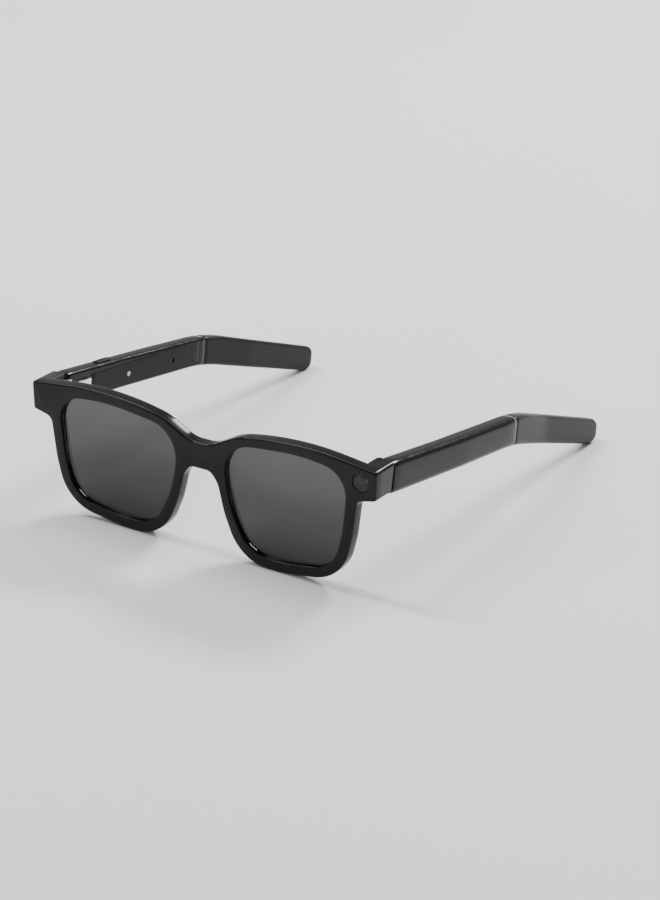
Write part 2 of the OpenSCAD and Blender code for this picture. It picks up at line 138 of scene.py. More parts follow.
# The temples
TIP_S = 150.0
TIP_R = 4.8
TIP_FLAT = 0.05
BEND_S = 86.0
BEND_SPREAD = 2.0
BEND_R = 90.0
BEND_T = (-5.5, 5.2)
INNER_U = 0.6
OUTER_U = 7.4
ROOT_T = (-4.6, 7.4)
ROOT_R = 0.8
BUTT_S = 0.3
SHELL_END = 84.0
SHELL_GAP = 0.01
BUTT_GAP = 0.002
TIP_END_GAP = 0.004
ARM_EDGE_R = (1.5, 2.4)
ARM_END_EDGE = 0.3
ARM_STEP = 2.0
TIP_STEP = 1.6
TIP_ROUND_STEPS = 12
TIP_THIN_S = 2.6
TIP_THIN = 0.92
TIP_EDGE_LOSS = 0.6
CAVITY_S = (15.0, 80.0)
CAVITY_T = (-3.6, 4.0)
CAVITY_U = 5.2
COVER_U = 1.6
COVER_LIP = 0.6
COVER_EDGE_R = (0.3, 0.1)
COVER_END_EDGE = 0.2
COVER_STEP = 3.0
BOSS_S = (37.5, 64.0)
BOSS_R = 1.4
PORT = (3.6, 73.0)
SOUND_SLOT = (10, 1.6)
MESH_SEAT = (11.2, 2.8)
MESH_SEAT_TOP = -4.8
TEMPLE_PORT = (3.6, 18.5)
CORE_START = (2.3, 82.5, -0.6)
CORE_R = 0.7
CORE_LEN = 52.0
CORE_TURN = math.radians(3.6)

# The hinges and screws; a screw is (head, shoulder, point) along u
HINGE_EDGE = 0.14
KNUCKLE_CLEAR = 1.85
LEAF_SCREW_S = (5.0, 10.0)
FRONT_SCREW_S = -3.6
FRONT_SCREW_T = 2.8
LEAF_SCREW = (-0.55, -0.1, 3)
COVER_SCREW = (0.5, 1, 4)
SCREW_R = 0.5
SCREW_HEAD_R = 0.9
SCREW_POINT = 0.2
PILOT_PAST = 0.1
CLEAR_GAP = 0.05
HEAD_GAP = 0.08
SLOT_HALF = (0.55, 0.1)
SLOT_T = 0.22
SLOT_TURNS = (20, 110)

# The capture button on the right temple, as (u, s), and the power slider on the left one
BUTTON = (3.7, 24.5)
BUTTON_LEN = 9.0
BUTTON_W = 2.6
BUTTON_TOP = 7.3
BUTTON_EDGE = 0.35
BUTTON_GAP = 0.2
FLANGE_T = 5.28
FLANGE_BASE = 4.78
CAP_BASE = 4.88
FLANGE_GAP = 0.02
FLANGE_SIZE = (BUTTON_LEN + 1.3, BUTTON_W + 0.7)
FLANGE_ROOM = (BUTTON_LEN + 1.6, BUTTON_W + 1)
FLANGE_EDGE = 0.08
SLIDER_S = 27.0
SLIDER_TRAVEL = 2.0
KNOB_U = (0.1, COVER_U + 0.3)
KNOB_HALF = (1.6, 1.2)
KNOB_EDGE = 0.15
KNOB_SLOT_HALF = (1.7, 1.35)
KNOB_FLANGE_U = (COVER_U + 0.1, COVER_U + 0.5)
KNOB_FLANGE_HALF = (2.6, 1.9)
RIDGE_U = (0.0, 0.4)
RIDGE_STEP = 0.7
RIDGE_HALF = (0.15, 0.95)
RIDGE_EDGE = 0.05

ARC_STEPS = 14
EDGE_STEPS = 5
SECTION_STEPS = 7
MOST_ROUND = 0.49
FIRST_RING = 0.3
BAR_STEPS = 10
LEAST_R = 0.06
BAR_FLAT = 0.01

# Half of the front's outline as (x, z, corner radius), from the bridge's top to its underside
FRONT_HALF = [
    (4.5, 16, 12), (16, 22, 26), (39.5, 26.5, 125), (END_X, 22.4, 1.4), (END_X - 0.4, 11.8, 1),
    (65.5, 10, 3), (63.5, -4.5, 40), (59, -21.5, 17), (35, -RIM_BOTTOM, 60),
    (17, -RIM_BOTTOM, 17), (10, -8.5, 30), (7.2, 2.5, 9), (4.2, BRIDGE_UNDER, 3.5),
]
BROW_CORNER, END_TOP, END_LOW, CHEEK_CORNER = FRONT_HALF[2:6]
# One lens opening, on the +X side
LENS_HALF = [
    (9, 18, 12), (LENS_X + 5.5, 21.5, 80), (62, 19, 10), (59.5, -3.5, 50),
    (55.5, -18, 12.5), (34.5, -21, 50), (20.5, -20.5, 12.5), (12, -4.5, 50),
]
# The temple seen from above, as (u, s, corner radius)
PLAN = [
    (INNER_U, BUTT_S, 0.3), (INNER_U, 36, 90), (-0.6, 84, 90), (-2.4, 112, 90),
    (-3.8, 156, 1.5), (0.6, 156, 1.8), (2.2, 112, 60), (6.2, 80, 60),
    (OUTER_U - 0.2, 48, 90), (OUTER_U, BUTT_S, ROOT_R),
]
PROFILE_STEPS = 24

# ---- The frame's own places ------------------------------------------------------------------

FRONT_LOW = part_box("front_frame")[0]
FRONT = Matrix.Translation((0, FRONT_LOW.y, FRONT_LOW.z + RIM_BOTTOM * MM)) @ Matrix.Scale(MM, 4)
JOINT = {joint["name"]: joint for joint in frame["joints"]}


def temple_matrix(side):
    """Takes a temple's (u, s, t) to the row frame; side 1 is the wearer's left."""
    joint = JOINT["left_temple_fold" if side > 0 else "right_temple_fold"]
    up = Vector(joint["axis"]) * side
    out = Vector((side, 0, 0))
    back = Vector((0, up.z, -up.y))
    turn = Matrix((out, back, up)).transposed().to_4x4()
    return Matrix.Translation(joint["pos_m"]) @ turn @ Matrix.Scale(MM, 4)


TEMPLE = {side: temple_matrix(side) for side in (1, -1)}
SIDE_NAME = {1: "left", -1: "right"}
TEMPLE_BODY = {1: "left_temple", -1: "right_temple"}
HINGE = FRONT.inverted() @ Vector(JOINT["left_temple_fold"]["pos_m"])
TILT = math.asin(JOINT["left_temple_fold"]["axis"][1])
TIP_T = (TIP_R - RIM_BOTTOM - HINGE.z + TIP_S * math.sin(TILT)) / math.cos(TILT)
DROOP = math.atan(-TIP_T / (TIP_S - BEND_S))

# ---- Outlines --------------------------------------------------------------------------------


def at_corner(corners, i):
    """A corner's place and the directions of the edges before and after it."""
    here = Vector(corners[i][:2])
    before = (here - Vector(corners[i - 1][:2])).normalized()
    after = (Vector(corners[(i + 1) % len(corners)][:2]) - here).normalized()
    return here, before, after


def outward(edge):
    return Vector((-edge.y, edge.x))


def grow(corners, d):
    """Moves every edge of a clockwise outline outwards by d, and keeps its corners round."""
    grown = []
    for i, corner in enumerate(corners):
        here, before, after = at_corner(corners, i)
        n1, n2 = outward(before), outward(after)
        place = here + d * (n1 + n2) / (1 + n1.dot(n2))
        change = d if before.cross(after) < 0 else -d
        grown.append((place.x, place.y, max(LEAST_R, corner[2] + change)))
    return grown


def rounded(corners, steps=ARC_STEPS):
    """The outline's points, with an arc of the given radius at every corner."""
    points = []
    for i, corner in enumerate(corners):
        here, before, after = at_corner(corners, i)
        radius = corner[2]
        side = 1 if before.cross(after) < 0 else -1
        angle = before.angle(after)
        centre = here - before * radius * math.tan(angle / 2) - outward(before) * radius * side
        spoke = outward(before) * side
        start = math.atan2(spoke.y, spoke.x)
        for k in range(steps + 1):
            a = start - side * angle * k / steps
            points.append(centre + radius * Vector((math.cos(a), math.sin(a))))
    return points


def mirrored(corners):
    return [(-x, z, r) for x, z, r in reversed(corners)]


WHOLE_FRONT = FRONT_HALF + mirrored(FRONT_HALF)
LENS_OUTLINE = {1: LENS_HALF, -1: mirrored(LENS_HALF)}


def side_outline():
    """The temple seen from the side, as (s, t, corner radius)."""
    tip = Vector((TIP_S, TIP_T))
    along = Vector((math.cos(DROOP), -math.sin(DROOP)))
    across = Vector((math.sin(DROOP), math.cos(DROOP)))
    top, low = tip + TIP_R * (along + across), tip + TIP_R * (along - across)
    round_r = TIP_R - TIP_FLAT
    return [
        (BUTT_S, ROOT_T[1], ROOT_R), (BEND_S + BEND_SPREAD, BEND_T[1], BEND_R),
        (*top, round_r), (*low, round_r),
        (BEND_S - BEND_SPREAD, BEND_T[0], BEND_R), (BUTT_S, ROOT_T[0], ROOT_R),
    ]


SIDE_POINTS = [(p.x, p.y) for p in rounded(side_outline(), PROFILE_STEPS)]
PLAN_POINTS = [(p.y, p.x) for p in rounded(PLAN, PROFILE_STEPS)]
TIP_END = max(p[0] for p in SIDE_POINTS)


def span(points, s):
    """The lowest and highest place where a closed outline crosses station s."""
    found = []
    for (s0, v0), (s1, v1) in zip(points, points[1:] + points[:1]):
        if (s0 - s) * (s1 - s) <= 0 and s0 != s1:
            found.append(v0 + (v1 - v0) * (s - s0) / (s1 - s0))
    return min(found), max(found)


# ---- Mesh building ---------------------------------------------------------------------------


def quarter(steps):
    """Angles from 0 to a right angle."""
    return [math.pi / 2 * k / steps for k in range(steps + 1)]


def edge_profile(y0, y1, edge):
    """(offset, depth) pairs of a wall with two rounded edges, from the front to the back."""
    turns = quarter(EDGE_STEPS)
    front = [(-edge * (1 - math.sin(a)), y0 + edge * (1 - math.cos(a))) for a in turns]
    back = [(-edge * (1 - math.cos(a)), y1 - edge * (1 - math.sin(a))) for a in turns]
    return front + back


def bridge(bm, rings):
    for a, b in zip(rings, rings[1:]):
        for i in range(len(a)):
            bm.faces.new((a[i - 1], a[i], b[i], b[i - 1]))


def to_object(bm, name, matrix, smooth_angle=SMOOTH_ANGLE):
    """Turns a bmesh into an object in the row frame, with outward normals."""
    bmesh.ops.transform(bm, matrix=matrix, verts=bm.verts)
    bmesh.ops.recalc_face_normals(bm, faces=bm.faces)
    mesh = bpy.data.meshes.new(name)
    bm.to_mesh(mesh)
    bm.free()
    thing = bpy.data.objects.new(name, mesh)
    bpy.context.scene.collection.objects.link(thing)
    shade(thing, smooth_angle)
    return thing


def shade(thing, angle=SMOOTH_ANGLE):
    """Smooth shading, but sharp where two faces meet at more than the angle in degrees."""
    thing.data.shade_smooth()
    thing.data.set_sharp_from_angle(angle=math.radians(angle))


def plate(name, walls):
    """A plate of the front. Each wall is (outline, profile); a hole's profile grows outwards."""
    bm = bmesh.new()
    ends = ([], [])
    for corners, profile in walls:
        rings = []
        for d, y in profile:
            rings.append([bm.verts.new((p.x, y, p.y)) for p in rounded(grow(corners, d))])
        bridge(bm, rings)
        ends[0].append(rings[0])
        ends[1].append(rings[-1])
    for loops in ends:
        edges = [bm.edges.get((loop[i - 1], loop[i])) for loop in loops for i in range(len(loop))]
        bmesh.ops.triangle_fill(bm, use_beauty=True, edges=edges)
    return to_object(bm, name, FRONT)


def loft(name, rings, matrix, smooth_angle=SMOOTH_ANGLE):
    """Joins rings of points into one closed skin."""
    bm = bmesh.new()
    loops = [[bm.verts.new(p) for p in ring] for ring in rings]
    bridge(bm, loops)
    bm.faces.new(loops[0])
    bm.faces.new(reversed(loops[-1]))
    return to_object(bm, name, matrix, smooth_angle)


def circle(radius, height, steps):
    turns = [2 * math.pi * k / steps for k in range(steps)]
    return [(radius * math.cos(a), radius * math.sin(a), height) for a in turns]


def turned(name, profile, matrix, steps=48):
    """A body of revolution round its own Z, from (radius, height) pairs."""
    return loft(name, [circle(radius, height, steps) for radius, height in profile], matrix)


def modify(thing, kind, **settings):
    """Applies one modifier to a mesh."""
    modifier = thing.modifiers.new(kind.lower(), kind)
    for key, value in settings.items():
        setattr(modifier, key, value)
    bpy.context.view_layer.update()
    evaluated = thing.evaluated_get(bpy.context.evaluated_depsgraph_get())
    mesh = bpy.data.meshes.new_from_object(evaluated)
    thing.modifiers.clear()
    old, thing.data = thing.data, mesh
    bpy.data.meshes.remove(old)


def mend(thing):
    """Welds the hairline gaps that a cut can leave, and fills what stays open."""
    bm = bmesh.new()
    bm.from_mesh(thing.data)
    bmesh.ops.remove_doubles(bm, verts=bm.verts, dist=WELD * MM)
    bmesh.ops.holes_fill(bm, edges=[edge for edge in bm.edges if edge.is_boundary], sides=0)
    bm.to_mesh(thing.data)
    bm.free()


def boolean(thing, others, operation="DIFFERENCE"):
    for other in others:
        modify(thing, "BOOLEAN", operation=operation, object=other, solver="EXACT")
        bpy.data.objects.remove(other)
    mend(thing)
    shade(thing)


def merge(name, things):
    """Joins separate solids into one piece."""
    bm = bmesh.new()
    for thing in things:
        bm.from_mesh(thing.data)
        bpy.data.objects.remove(thing)
    return to_object(bm, name, Matrix.Identity(4))


def block(name, u, s, t, matrix, edge=0.0):
    """A box between three pairs of values, with rounded edges where an edge size is given."""
    bm = bmesh.new()
    bmesh.ops.create_cube(bm, size=1)
    size = Vector((u[1] - u[0], s[1] - s[0], t[1] - t[0]))
    middle = Vector((u[1] + u[0], s[1] + s[0], t[1] + t[0])) / 2
    place = Matrix.Translation(middle) @ Matrix.Diagonal((*size, 1))
    bmesh.ops.transform(bm, matrix=place, verts=bm.verts)
    if edge:
        bmesh.ops.bevel(
            bm, geom=bm.edges[:], offset=edge, segments=3, profile=0.5, affect="EDGES")
    return to_object(bm, name, matrix)


def widened(pair, margin):
    return pair[0] - margin, pair[1] + margin


def around(middle, half):
    return middle - half, middle + half


def rod(name, start, axis, radius, length, matrix, steps=24):
    """A plain round bar, for cutting holes."""
    turn = Vector(axis).to_track_quat("Z", "Y").to_matrix().to_4x4()
    place = matrix @ Matrix.Translation(start) @ turn
    return turned(name, [(radius, 0), (radius, length)], place, steps)


def bar(name, place, size, t0, t1, matrix, edge=0.0):
    """A flat bar with round ends at (u, s), of a length along s and a width along u."""
    (u, s), (length, width) = place, size
    half, side, radius = length / 2, width / 2, width / 2 - BAR_FLAT
    corners = [
        (u - side, s + half, radius), (u + side, s + half, radius),
        (u + side, s - half, radius), (u - side, s - half, radius),
    ]
    profile = edge_profile(t0, t1, edge) if edge else [(0, t0), (0, t1)]
    rings = [[(p.x, p.y, t) for p in rounded(grow(corners, d), BAR_STEPS)] for d, t in profile]
    return loft(name, rings, matrix)


# ---- Materials -------------------------------------------------------------------------------

SPREAD = (0.3, 0.7)  # the values between which noise mostly stays
# Heights over which the lenses' painted reflection runs, from dark at the bottom to lighter at the top
LENS_PAINTED_SHEEN_Z = (FRONT_LOW.z + 6 * MM, FRONT_LOW.z + 44 * MM)


class Finish:
    """A node material with a Principled shader, whose colour and roughness follow textures."""

    def __init__(self, name, **sockets):
        self.material = bpy.data.materials.new(name)
        self.material.use_nodes = True
        self.nodes = self.material.node_tree.nodes
        self.links = self.material.node_tree.links
        self.shader = self.nodes["Principled BSDF"]
        for key, value in sockets.items():
            self.shader.inputs[key.replace("_", " ")].default_value = value
        self.place = self.nodes.new("ShaderNodeTexCoord").outputs["Object"]

    def noise(self, scale, detail=2.0, stretch=None):
        """Noise by the surface's place, with about `scale` features a metre."""
        texture = self.nodes.new("ShaderNodeTexNoise")
        texture.inputs["Scale"].default_value = scale
        texture.inputs["Detail"].default_value = detail
        place = self.place
        if stretch:
            mapping = self.nodes.new("ShaderNodeMapping")
            mapping.inputs["Scale"].default_value = stretch
            self.links.new(place, mapping.inputs["Vector"])
            place = mapping.outputs["Vector"]
        self.links.new(place, texture.inputs["Vector"])
        return texture.outputs["Fac"]

    def remap(self, source, before, after):
        """Takes the first pair of values to the second one."""
        node = self.nodes.new("ShaderNodeMapRange")
        node.inputs["From Min"].default_value, node.inputs["From Max"].default_value = before
        node.inputs["To Min"].default_value, node.inputs["To Max"].default_value = after
        self.links.new(source, node.inputs["Value"])
        return node.outputs["Result"]

    def height(self, low, high):
        """Grows with height, from the low place to the high one, as far as noise spreads."""
        parts = self.nodes.new("ShaderNodeSeparateXYZ")
        self.links.new(self.place, parts.inputs["Vector"])
        return self.remap(parts.outputs["Z"], (low, high), SPREAD)

    def roughness(self, source, low, high):
        socket = self.shader.inputs["Roughness"]
        socket.default_value = (low + high) / 2
        self.links.new(self.remap(source, SPREAD, (low, high)), socket)

    def tint(self, source, dark, light):
        """Drives the base colour between two colours."""
        ramp = self.nodes.new("ShaderNodeValToRGB")
        for element, position, color in zip(ramp.color_ramp.elements, SPREAD, (dark, light)):
            element.position = position
            element.color = (*color, 1)
        self.links.new(source, ramp.inputs["Fac"])
        self.shader.inputs["Base Color"].default_value = (*light, 1)
        self.links.new(ramp.outputs["Color"], self.shader.inputs["Base Color"])

    def bump(self, source, depth_mm, strength):
        node = self.nodes.new("ShaderNodeBump")
        node.inputs["Strength"].default_value = strength
        node.inputs["Distance"].default_value = depth_mm * MM
        self.links.new(source, node.inputs["Height"])
        self.links.new(node.outputs["Normal"], self.shader.inputs["Normal"])


def gloss_black():
    """Polished black nylon: near mirror, with a faint ripple and fine wiping haze."""
    finish = Finish("polished_black", Specular_IOR_Level=0.2)
    finish.tint(finish.noise(60, 3), (0.003, 0.003, 0.0035), (0.006, 0.006, 0.0065))
    finish.roughness(finish.noise(420, 5), 0.11, 0.22)
    finish.bump(finish.noise(130), depth_mm=0.006, strength=0.4)
    return finish.material


def satin_black(name, grain=5200, low=0.38, high=0.46, depth_mm=0.012):
    """Moulded black with a fine spark-eroded grain."""
    finish = Finish(name, Specular_IOR_Level=0.15)
    finish.tint(finish.noise(90, 3), (0.0045, 0.0045, 0.005), (0.008, 0.008, 0.0085))
    finish.roughness(finish.noise(700, 4), low, high)
    finish.bump(finish.noise(grain), depth_mm, strength=0.6)
    return finish.material


def smoke():
    """Dark grey tinted lens with a polished skin; a painted reflection makes its colour lighter at the top and
    darker towards the bottom.
    """
    finish = Finish("smoke_tint", IOR=1.42, Transmission_Weight=0.92)
    finish.roughness(finish.noise(40), 0.002, 0.008)
    # Painted reflection: the lens colour grows lighter with height
    finish.tint(finish.height(*LENS_PAINTED_SHEEN_Z), (0.016, 0.0165, 0.017), (0.072, 0.073, 0.075))
    return finish.material


def dark_window():
    finish = Finish("dark_window", IOR=1.33, Transmission_Weight=1.0)
    finish.roughness(finish.noise(80), 0.005, 0.02)
    finish.tint(finish.noise(50, 1), (0.30, 0.30, 0.33), (0.34, 0.34, 0.37))
    return finish.material


def coated_glass():
    """Camera lens glass with a blue and violet coating."""
    finish = Finish("coated_glass", IOR=1.6, Coat_Weight=1.0, Coat_Roughness=0.02)
    finish.tint(finish.noise(900, 1), (0.02, 0.03, 0.09), (0.07, 0.04, 0.13))
    finish.roughness(finish.noise(500, 1), 0.01, 0.05)
    return finish.material


def metal(name, color, low, high, stretch=None, scale=900):
    """Bare or plated metal; a stretch makes brushed lines of its grain."""
    finish = Finish(name, Metallic=1.0)
    finish.tint(finish.noise(260, 3), tuple(0.86 * part for part in color), color)
    finish.roughness(finish.noise(scale, 4, stretch), low, high)
    finish.bump(finish.noise(scale * 3, 3, stretch), depth_mm=0.004, strength=0.4)
    return finish.material


def board(name, color, copper):
    """Circuit board or film: mask colour over a faint net of tracks."""
    finish = Finish(name)
    finish.tint(finish.noise(1500, 1, (1, 0.2, 1)), color, copper)
    finish.roughness(finish.noise(900), 0.28, 0.45)
    return finish.material


def diffuser():
    """Milky cover of the capture light."""
    finish = Finish("diffuser_white", Roughness=0.3)
    finish.tint(finish.noise(600), (0.72, 0.72, 0.68), (0.84, 0.84, 0.80))
    return finish.material


def floor_paint():
    finish = Finish("pale_floor")
    finish.tint(finish.noise(3), (0.80, 0.80, 0.80), (0.83, 0.83, 0.83))
    finish.roughness(finish.noise(8), 0.55, 0.65)
    return finish.material


BRUSHED = (1, 0.15, 1)
CRIMPED = (1, 0.3, 1)
MATERIAL = {
    "frame_black": gloss_black(),
    "inner_black": satin_black("inner_satin"),
    "tip_black": satin_black("tip_satin", 3800, 0.3, 0.35, 0.003),
    "control_black": satin_black("control_satin", 6500, 0.3, 0.42, 0.01),
    "speaker_black": satin_black("speaker_satin"),
    "barrel_black": satin_black("barrel_satin", 7000, 0.5, 0.65),
    "smoke_lens": smoke(),
    "window_black": dark_window(),
    "camera_glass": coated_glass(),
    "circuit_green": board("solder_mask", (0.01, 0.09, 0.05), (0.03, 0.14, 0.08)),
    "flex_amber": board("amber_film", (0.30, 0.12, 0.03), (0.42, 0.19, 0.06)),
    "light_white": diffuser(),
    "contact_gold": metal("gold_plate", (0.85, 0.62, 0.28), 0.18, 0.3),
    "microphone_can": metal("tin_can", (0.70, 0.70, 0.67), 0.3, 0.45),
    "hinge_chrome": metal("bright_hinge", (0.78, 0.79, 0.81), 0.14, 0.28, BRUSHED),
    "screw_steel": metal("turned_steel", (0.60, 0.61, 0.63), 0.2, 0.34),
    "battery_foil": metal("crimped_foil", (0.66, 0.67, 0.70), 0.3, 0.5, CRIMPED, 300),
    "mesh_grey": metal("woven_mesh", (0.16, 0.16, 0.17), 0.35, 0.5),
    "switch_steel": metal("black_nickel", (0.10, 0.10, 0.11), 0.3, 0.45),
}
NODE_SLOT = {part["node"]: part["material_slot"] for part in frame["record"]["subparts"]}


def dress_cad():
    """Every CAD node takes the material of its slot."""
    for node, thing in frame["nodes"].items():
        thing.data.materials.clear()
        thing.data.materials.append(MATERIAL[NODE_SLOT[node]])


def stands_for(piece, node, body):
    """Puts a finished piece in a CAD node's place."""
    slot = NODE_SLOT[node]
    piece.data.materials.clear()
    piece.data.materials.append(MATERIAL[slot])
    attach(piece, body)
    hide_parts(node)


# ---- Front -----------------------------------------------------------------------------------


def lens_wall_profile():
    """The wall of a lens opening: two rounded edges with the lens's groove between them."""
    front = [(-d, y) for d, y in edge_profile(0, FRONT_T, OPENING_EDGE)]
    half = len(front) // 2
    groove = [(0, LENS_SEAT), (GROOVE, LENS_SEAT), (GROOVE, LENS_BACK), (0, LENS_BACK)]
    return front[:half] + groove + front[half:]


def butt_y(z, s):
    """Depth, at height z, of the plane that lies s along the temples from the hinge axis."""
    t = (z - HINGE.z + s * math.sin(TILT)) / math.cos(TILT)
    return HINGE.y + s * math.cos(TILT) + t * math.sin(TILT)


def on_edge(a, b, x):
    """Height at x of the straight edge between two corners."""
    return a[1] + (x - a[0]) * (b[1] - a[1]) / (b[0] - a[0])


def end_piece(side):
    """The end piece behind the front plate: it runs in the front's outline to the temple."""
    x0 = HINGE.x + INNER_U
    corners = grow([
        (x0, on_edge(END_TOP, BROW_CORNER, x0), END_INNER_R), END_TOP, END_LOW,
        (x0, on_edge(CHEEK_CORNER, END_LOW, x0), END_INNER_R),
    ], -END_INSET)
    rings = [[(side * p.x, FRONT_T / 2, p.y) for p in rounded(corners)]]
    for a in quarter(EDGE_STEPS):
        shrink, s = -END_EDGE * (1 - math.cos(a)), -BUTT_S - END_EDGE * (1 - math.sin(a))
        rings.append([(side * p.x, butt_y(p.y, s), p.y) for p in rounded(grow(corners, shrink))])
    return loft("end_piece", rings, FRONT)


def lens_spaces(margin):
    """Cutters that keep a part of the brow channel clear of both lenses and their grooves."""
    wall = [(0, CHANNEL_Y - OVER), (0, FRONT_T + 2 * OVER)]
    outlines = [grow(corners, margin) for corners in LENS_OUTLINE.values()]
    return [plate("lens_space", [(outline, wall)]) for outline in outlines]


def channel():
    """The brow channel's space: between the lens openings and the front's top edge."""
    wall = [(0, CHANNEL_Y), (0, FRONT_T + OVER)]
    space = plate("channel", [(grow(WHOLE_FRONT, -CHANNEL_INSET), wall)])
    keep = block("keep", (-CHANNEL_X, CHANNEL_X), (0, REACH), CHANNEL_Z, FRONT)
    boolean(space, [keep], "INTERSECT")
    boolean(space, lens_spaces(GROOVE + GROOVE_WALL))
    return space


def build_front():
    walls = [(WHOLE_FRONT, edge_profile(0, FRONT_T, FRONT_EDGE))]
    walls += [(corners, lens_wall_profile()) for corners in LENS_OUTLINE.values()]
    front = plate("front_frame_polished", walls)
    boolean(front, [end_piece(side) for side in (1, -1)], "UNION")
    x, z = CAMERA
    cuts = [
        channel(),
        rod("window_seat", (x, -1, z), (0, 1, 0), WINDOW_R + WINDOW_SEAT_GAP, 1 + WINDOW_SEAT_T,
            FRONT, 64),
        rod("camera_pocket", (x, 0, z), (0, 1, 0), CAMERA_POCKET_R, CAMERA_POCKET_T, FRONT, 64),
        block("flex_way", FLEX_WAY_X, (CHANNEL_Y, CHANNEL_Y + FLEX_WAY_DEPTH),
              around(z, FLEX_WAY_HALF), FRONT),
        block("board_pocket", *BOARD_POCKET, FRONT),
    ]
    for side in (1, -1):
        cuts.append(rod("contact_bore", (side * CONTACT_X, CONTACT_Y, 0), (0, 0, 1),
                        CONTACT_R + CONTACT_GAP, CONTACT_BORE_TOP, FRONT, 40))
        cuts.append(knuckle_room(side))
        cuts += [pilot(side, FRONT_SCREW_S, t, LEAF_SCREW) for t in (-FRONT_SCREW_T, FRONT_SCREW_T)]
    boolean(front, cuts)
    stands_for(front, "front_frame", "front")


def build_brow_cover():
    wall = edge_profile(BROW_Y, FRONT_T, BROW_EDGE)
    cover = plate("brow_cover_satin", [(grow(WHOLE_FRONT, -CHANNEL_INSET - SEAM), wall)])
    keep = block("keep", (SEAM - CHANNEL_X, CHANNEL_X - SEAM), (0, REACH),
                 (CHANNEL_Z[0] + SEAM, CHANNEL_Z[1]), FRONT)
    boolean(cover, [keep], "INTERSECT")
    port = rod("port", (0, 0, FRONT_PORT_Z), (0, 1, 0), PORT_R, REACH, FRONT)
    boolean(cover, lens_spaces(GROOVE + GROOVE_WALL + SEAM) + [port])
    stands_for(cover, "brow_cover", "front")


def build_lens(side):
    """A domed lens whose edge sits in the rim's groove."""
    corners = LENS_OUTLINE[side]
    centre = Vector((side * LENS_X, 0))
    edge = rounded(grow(corners, -SEAM))
    seat = rounded(grow(corners, GROOVE))

    def dome(apex, share):
        """A ring of the dome, at a share of the way from its centre to the lens's edge."""
        ring = []
        for p in edge:
            spoke = (p - centre) * share
            fall = LENS_DOME_R - math.sqrt(LENS_DOME_R ** 2 - spoke.length_squared)
            ring.append((centre.x + spoke.x, apex + fall, centre.y + spoke.y))
        return ring

    shares = [k / LENS_RINGS for k in range(1, LENS_RINGS + 1)]
    rings = [dome(LENS_APEX, share) for share in shares]
    rings.append([(p.x, LENS_SEAT, p.y) for p in edge])
    rings += [[(p.x, y, p.y) for p in seat] for y in (LENS_SEAT, LENS_BACK)]
    rings += [dome(LENS_INNER_APEX, share) for share in reversed(shares)]
    lens = loft("lens_" + SIDE_NAME[side] + "_domed", rings, FRONT, smooth_angle=25)
    stands_for(lens, "lens_" + SIDE_NAME[side], "front")


def facing_front(x, y, z):
    """A place for a turned part, whose heights then count out of the front face."""
    return FRONT @ Matrix.Translation((x, y, z)) @ Matrix.Rotation(math.pi / 2, 4, "X")


def build_camera():
    """The window, the stepped barrel, its lens and the capture light, as turned profiles."""
    x, z = CAMERA
    rim = [(WINDOW_R - WINDOW_ROUND * (1 - math.sin(a)), -0.05 - WINDOW_ROUND * (1 - math.cos(a)))
           for a in quarter(6)]
    window = turned("camera_window_glass", [
        (0.05, 0.0), (1.2, -0.006), (2.4, -0.025), *rim, (WINDOW_R, 0.02 - WINDOW_T),
        (WINDOW_R - 0.02, -WINDOW_T), (0.05, -WINDOW_T),
    ], facing_front(x, WINDOW_FACE, z), 64)
    stands_for(window, "camera_window", "front")

    x -= BARREL_SHIFT
    profile = [(BARREL_R, BARREL_BACK), (BARREL_R, -0.1), (BARREL_R - 0.1, 0)]
    for k in range(BARREL_STEPS):
        step_r, step_h = BARREL_R - 0.22 - BARREL_STEP_R * k, -BARREL_STEP_T * k
        profile += [(step_r, step_h), (step_r - 0.05, step_h - BARREL_STEP_T)]
    profile += [(BARREL_BORE_R, -0.5), (BARREL_BORE_R, BARREL_BACK)]
    bm = bmesh.new()
    rings = [[bm.verts.new(p) for p in circle(r, h, 48)] for r, h in profile]
    bridge(bm, rings + [rings[0]])
    barrel = to_object(bm, "camera_barrel_stepped", facing_front(x, BARREL_FACE, z), 20)
    stands_for(barrel, "camera_barrel", "front")

    glass_r = BARREL_BORE_R - SEAM
    glass = turned("camera_lens_glass", [
        (0.03, 0.0), (0.4, -0.04), (0.8, -0.17), (1.1, -0.36), (glass_r, -0.55), (glass_r, -1.2),
        (0.03, -1.2),
    ], facing_front(x, CAMERA_LENS_FACE, z))
    stands_for(glass, "camera_lens", "front")

    place = facing_front(CAMERA[0] + LIGHT_SHIFT[0], LIGHT_FACE, CAMERA[1] + LIGHT_SHIFT[1])
    light = turned("capture_light_dome", [
        (0.02, 0.0), (0.25, -0.03), (0.45, -0.12), (0.58, -0.3), (0.6, -0.5), (0.6, -1.4),
        (0.02, -1.4),
    ], place, 32)
    stands_for(light, "capture_light", "front")


def build_contacts():
    """Two gold pads under the bridge, with softly rounded rims."""
    pads = []
    for side in (1, -1):
        place = FRONT @ Matrix.Translation((side * CONTACT_X, CONTACT_Y, BRIDGE_UNDER))
        pads.append(turned("pad", [
            (0.05, 0.02), (CONTACT_R - 0.25, 0.02), (CONTACT_R - 0.1, 0.0),
            (CONTACT_R - 0.03, 0.03), (CONTACT_R, 0.1), (CONTACT_R, CONTACT_T), (0.05, CONTACT_T),
        ], place, 40))
    stands_for(merge("charge_contact_pads", pads), "charge_contacts", "front")


# ---- Hinges ----------------------------------------------------------------------------------


def knuckle_room(side):
    """The round space in which a hinge's knuckles turn."""
    start = (0, 0, -REACH)
    return rod("knuckle_room", start, (0, 0, 1), KNUCKLE_CLEAR, 2 * REACH, TEMPLE[side], 48)


def pilot(side, s, t, kind):
    """The hole for a screw's thread."""
    return rod("pilot", (0, s, t), (1, 0, 0), SCREW_R, kind[2] + PILOT_PAST, TEMPLE[side])


